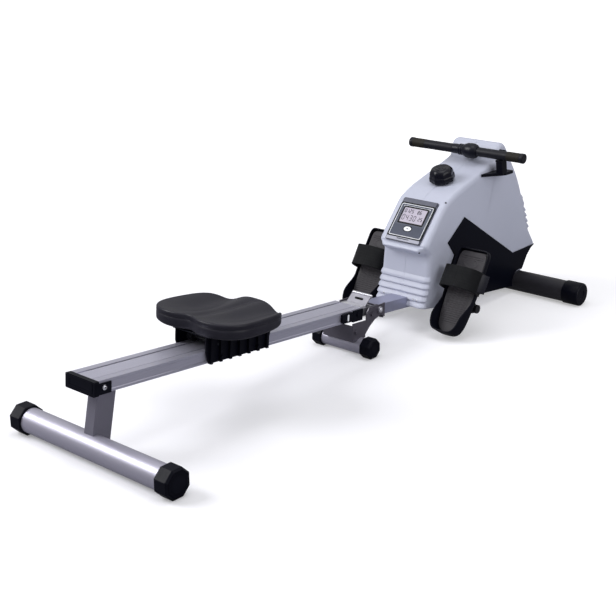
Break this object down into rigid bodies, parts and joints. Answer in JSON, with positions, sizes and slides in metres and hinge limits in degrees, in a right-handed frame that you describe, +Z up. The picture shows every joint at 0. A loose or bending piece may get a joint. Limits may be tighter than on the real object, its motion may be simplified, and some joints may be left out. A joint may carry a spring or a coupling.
{
  "type": "water rowing machine",
  "caption": "Folding rowing machine with a padded sliding seat on a silver rail, a moulded drum housing, a pull handle in a hook and two hinged footplates with straps.",
  "frame": {"origin": "middle of the bounding box on the floor, under the whole machine with the rail down", "axes": "+X runs from the rear foot to the drum housing, +Y is the rower's left, +Z is up"},
  "size_m": [1.8574, 0.654, 0.5168],
  "materials": {
    "silver_paint": "smooth silver-grey powder coat on steel tube",
    "grey_paint": "mid grey powder coat on folded sheet",
    "dark_paint": "dark grey metallic paint on tube",
    "anodised_aluminium": "satin anodised extrusion with fine lengthwise ribs",
    "zinc_plate": "bright zinc plate",
    "turned_steel": "turned and ground steel",
    "black_plastic": "black moulded nylon, fine texture",
    "cover_plastic": "blue-black moulded panel",
    "shell_plastic": "pale silver-white moulded housing",
    "console_plastic": "blue-grey console face",
    "screen_glass": "grey display window",
    "button_plastic": "white push button",
    "board_laminate": "green circuit board",
    "tread_rubber": "ribbed grey rubber",
    "strap_webbing": "black woven webbing",
    "grip_foam": "closed-cell foam grip",
    "seat_skin": "dark moulded vinyl skin over foam",
    "clear_plastic": "clear drum plastic",
    "roller_plastic": "dark hard roller plastic",
    "belt_rubber": "ribbed drive belt"
  },
  "bodies": {
    "frame": {"brake_cable": "black_plastic", "circuit_board": "board_laminate", "console_bezel": "console_plastic", "console_screen": "screen_glass", "drive_belt": "belt_rubber", "drum_support": "grey_paint", "fold_pivot_bolt": "zinc_plate", "front_stabiliser_tube": "dark_paint", "handle_hook": "black_plastic", "housing_shell_left": "shell_plastic", "housing_shell_right": "shell_plastic", "lower_cover_left": "cover_plastic", "lower_cover_right": "cover_plastic", "main_frame_tube": "silver_paint", "middle_bracket": "grey_paint", "middle_cap_left": "black_plastic", "middle_cap_right": "black_plastic", "middle_stabiliser_tube": "silver_paint", "pedal_axle": "turned_steel", "recoil_spring": "turned_steel", "strap_inner_run": "strap_webbing", "water_drum_left": "clear_plastic", "water_drum_right": "clear_plastic"},
    "rail_body": {"rail": "anodised_aluminium", "rail_end_cap": "black_plastic", "rail_front_collar": "black_plastic", "rail_bumper_left": "black_plastic", "rail_bumper_right": "black_plastic", "rear_post": "silver_paint", "rear_stabiliser_tube": "silver_paint", "rear_cap_left": "black_plastic", "rear_cap_right": "black_plastic", "rail_hinge_bracket": "zinc_plate"},
    "seat": {"seat_cushion": "seat_skin", "seat_carriage": "black_plastic"},
    "rear_rollers": {"seat_rollers_rear": "roller_plastic"},
    "front_rollers": {"seat_rollers_front": "roller_plastic"},
    "handle": {"handlebar_tube": "dark_paint", "grip_left": "grip_foam", "grip_right": "grip_foam", "handle_clamp": "black_plastic", "pull_strap": "strap_webbing"},
    "spool": {"strap_spool": "black_plastic", "one_way_bearing": "turned_steel"},
    "exit_roller": {"strap_roller": "roller_plastic"},
    "impeller_rotor": {"impeller": "cover_plastic", "flywheel": "turned_steel"},
    "pulley": {"drive_pulley": "roller_plastic"},
    "knob": {"resistance_knob": "black_plastic"},
    "brake": {"brake_yoke": "turned_steel"},
    "button": {"console_button": "button_plastic"},
    "pedal_left": {"footplate_left": "black_plastic", "tread_left": "tread_rubber", "foot_strap_left": "strap_webbing"},
    "pedal_right": {"footplate_right": "black_plastic", "tread_right": "tread_rubber", "foot_strap_right": "strap_webbing"},
    "wheel_left": {"front_wheel_left": "black_plastic"},
    "wheel_right": {"front_wheel_right": "black_plastic"}
  },
  "joints": [
    {"name": "rail_fold", "type": "hinge", "parent": "frame", "child": "rail_body", "pos_m": [0.12775, 0, 0.115], "axis": [0, 1, 0], "range_deg": [0, 80]},
    {"name": "seat_slide", "type": "slide", "parent": "rail_body", "child": "seat", "axis": [0.9968, 0, -0.0797], "range_m": [-0.262, 0.3]},
    {"name": "seat_rollers_rear_turn", "type": "hinge", "parent": "seat", "child": "rear_rollers", "pos_m": [-0.52137, 0, 0.19757], "axis": [0, 1, 0], "continuous": true},
    {"name": "seat_rollers_front_turn", "type": "hinge", "parent": "seat", "child": "front_rollers", "pos_m": [-0.37783, 0, 0.18609], "axis": [0, 1, 0], "continuous": true},
    {"name": "handle_pull", "type": "slide", "parent": "frame", "child": "handle", "axis": [0.994, 0, -0.1093], "range_m": [-0.9, 0], "stiffness_N_per_m": 8},
    {"name": "strap_spool_turn", "type": "hinge", "parent": "frame", "child": "spool", "pos_m": [0.49974, 0, 0.32201], "axis": [0, 1, 0], "continuous": true},
    {"name": "strap_roller_turn", "type": "hinge", "parent": "frame", "child": "exit_roller", "pos_m": [0.69835, 0, 0.47247], "axis": [0, 1, 0], "continuous": true},
    {"name": "impeller_spin", "type": "hinge", "parent": "frame", "child": "impeller_rotor", "pos_m": [0.63773, 0, 0.23302], "axis": [0, 1, 0], "continuous": true},
    {"name": "drive_pulley_turn", "type": "hinge", "parent": "frame", "child": "pulley", "pos_m": [0.49974, 0, 0.32201], "axis": [0, 1, 0], "continuous": true},
    {"name": "knob_turn", "type": "hinge", "parent": "frame", "child": "knob", "pos_m": [0.50775, 0, 0.42001], "axis": [-0.279, 0, 0.9603], "range_deg": [0, 270]},
    {"name": "brake_yoke_swing", "type": "hinge", "parent": "frame", "child": "brake", "pos_m": [0.54073, -0.07, 0.26454], "axis": [0, -1, 0], "range_deg": [0, 6]},
    {"name": "console_button_press", "type": "slide", "parent": "frame", "child": "button", "axis": [0.7513, 0, -0.66], "range_m": [0, 0.0018], "stiffness_N_per_m": 400},
    {"name": "pedal_left_tilt", "type": "hinge", "parent": "frame", "child": "pedal_left", "pos_m": [0.39775, 0.167, 0.079], "axis": [0, 1, 0], "range_deg": [0, 25]},
    {"name": "pedal_right_tilt", "type": "hinge", "parent": "frame", "child": "pedal_right", "pos_m": [0.39775, -0.167, 0.079], "axis": [0, 1, 0], "range_deg": [0, 25]},
    {"name": "front_wheel_left_roll", "type": "hinge", "parent": "frame", "child": "wheel_left", "pos_m": [0.83375, 0.298, 0.037], "axis": [0, 1, 0], "continuous": true},
    {"name": "front_wheel_right_roll", "type": "hinge", "parent": "frame", "child": "wheel_right", "pos_m": [0.83375, -0.298, 0.037], "axis": [0, 1, 0], "continuous": true}
  ],
  "couplings": [
    {"joint": "seat_rollers_rear_turn", "follows": "seat_slide", "rad_per_m": 75.188},
    {"joint": "seat_rollers_front_turn", "follows": "seat_slide", "rad_per_m": 75.188},
    {"joint": "strap_spool_turn", "follows": "handle_pull", "rad_per_m": -28.571},
    {"joint": "strap_roller_turn", "follows": "handle_pull", "rad_per_m": 83.333},
    {"joint": "drive_pulley_turn", "follows": "impeller_spin", "ratio": 0.24242},
    {"joint": "brake_yoke_swing", "follows": "knob_turn", "ratio": 0.022222}
  ]
}
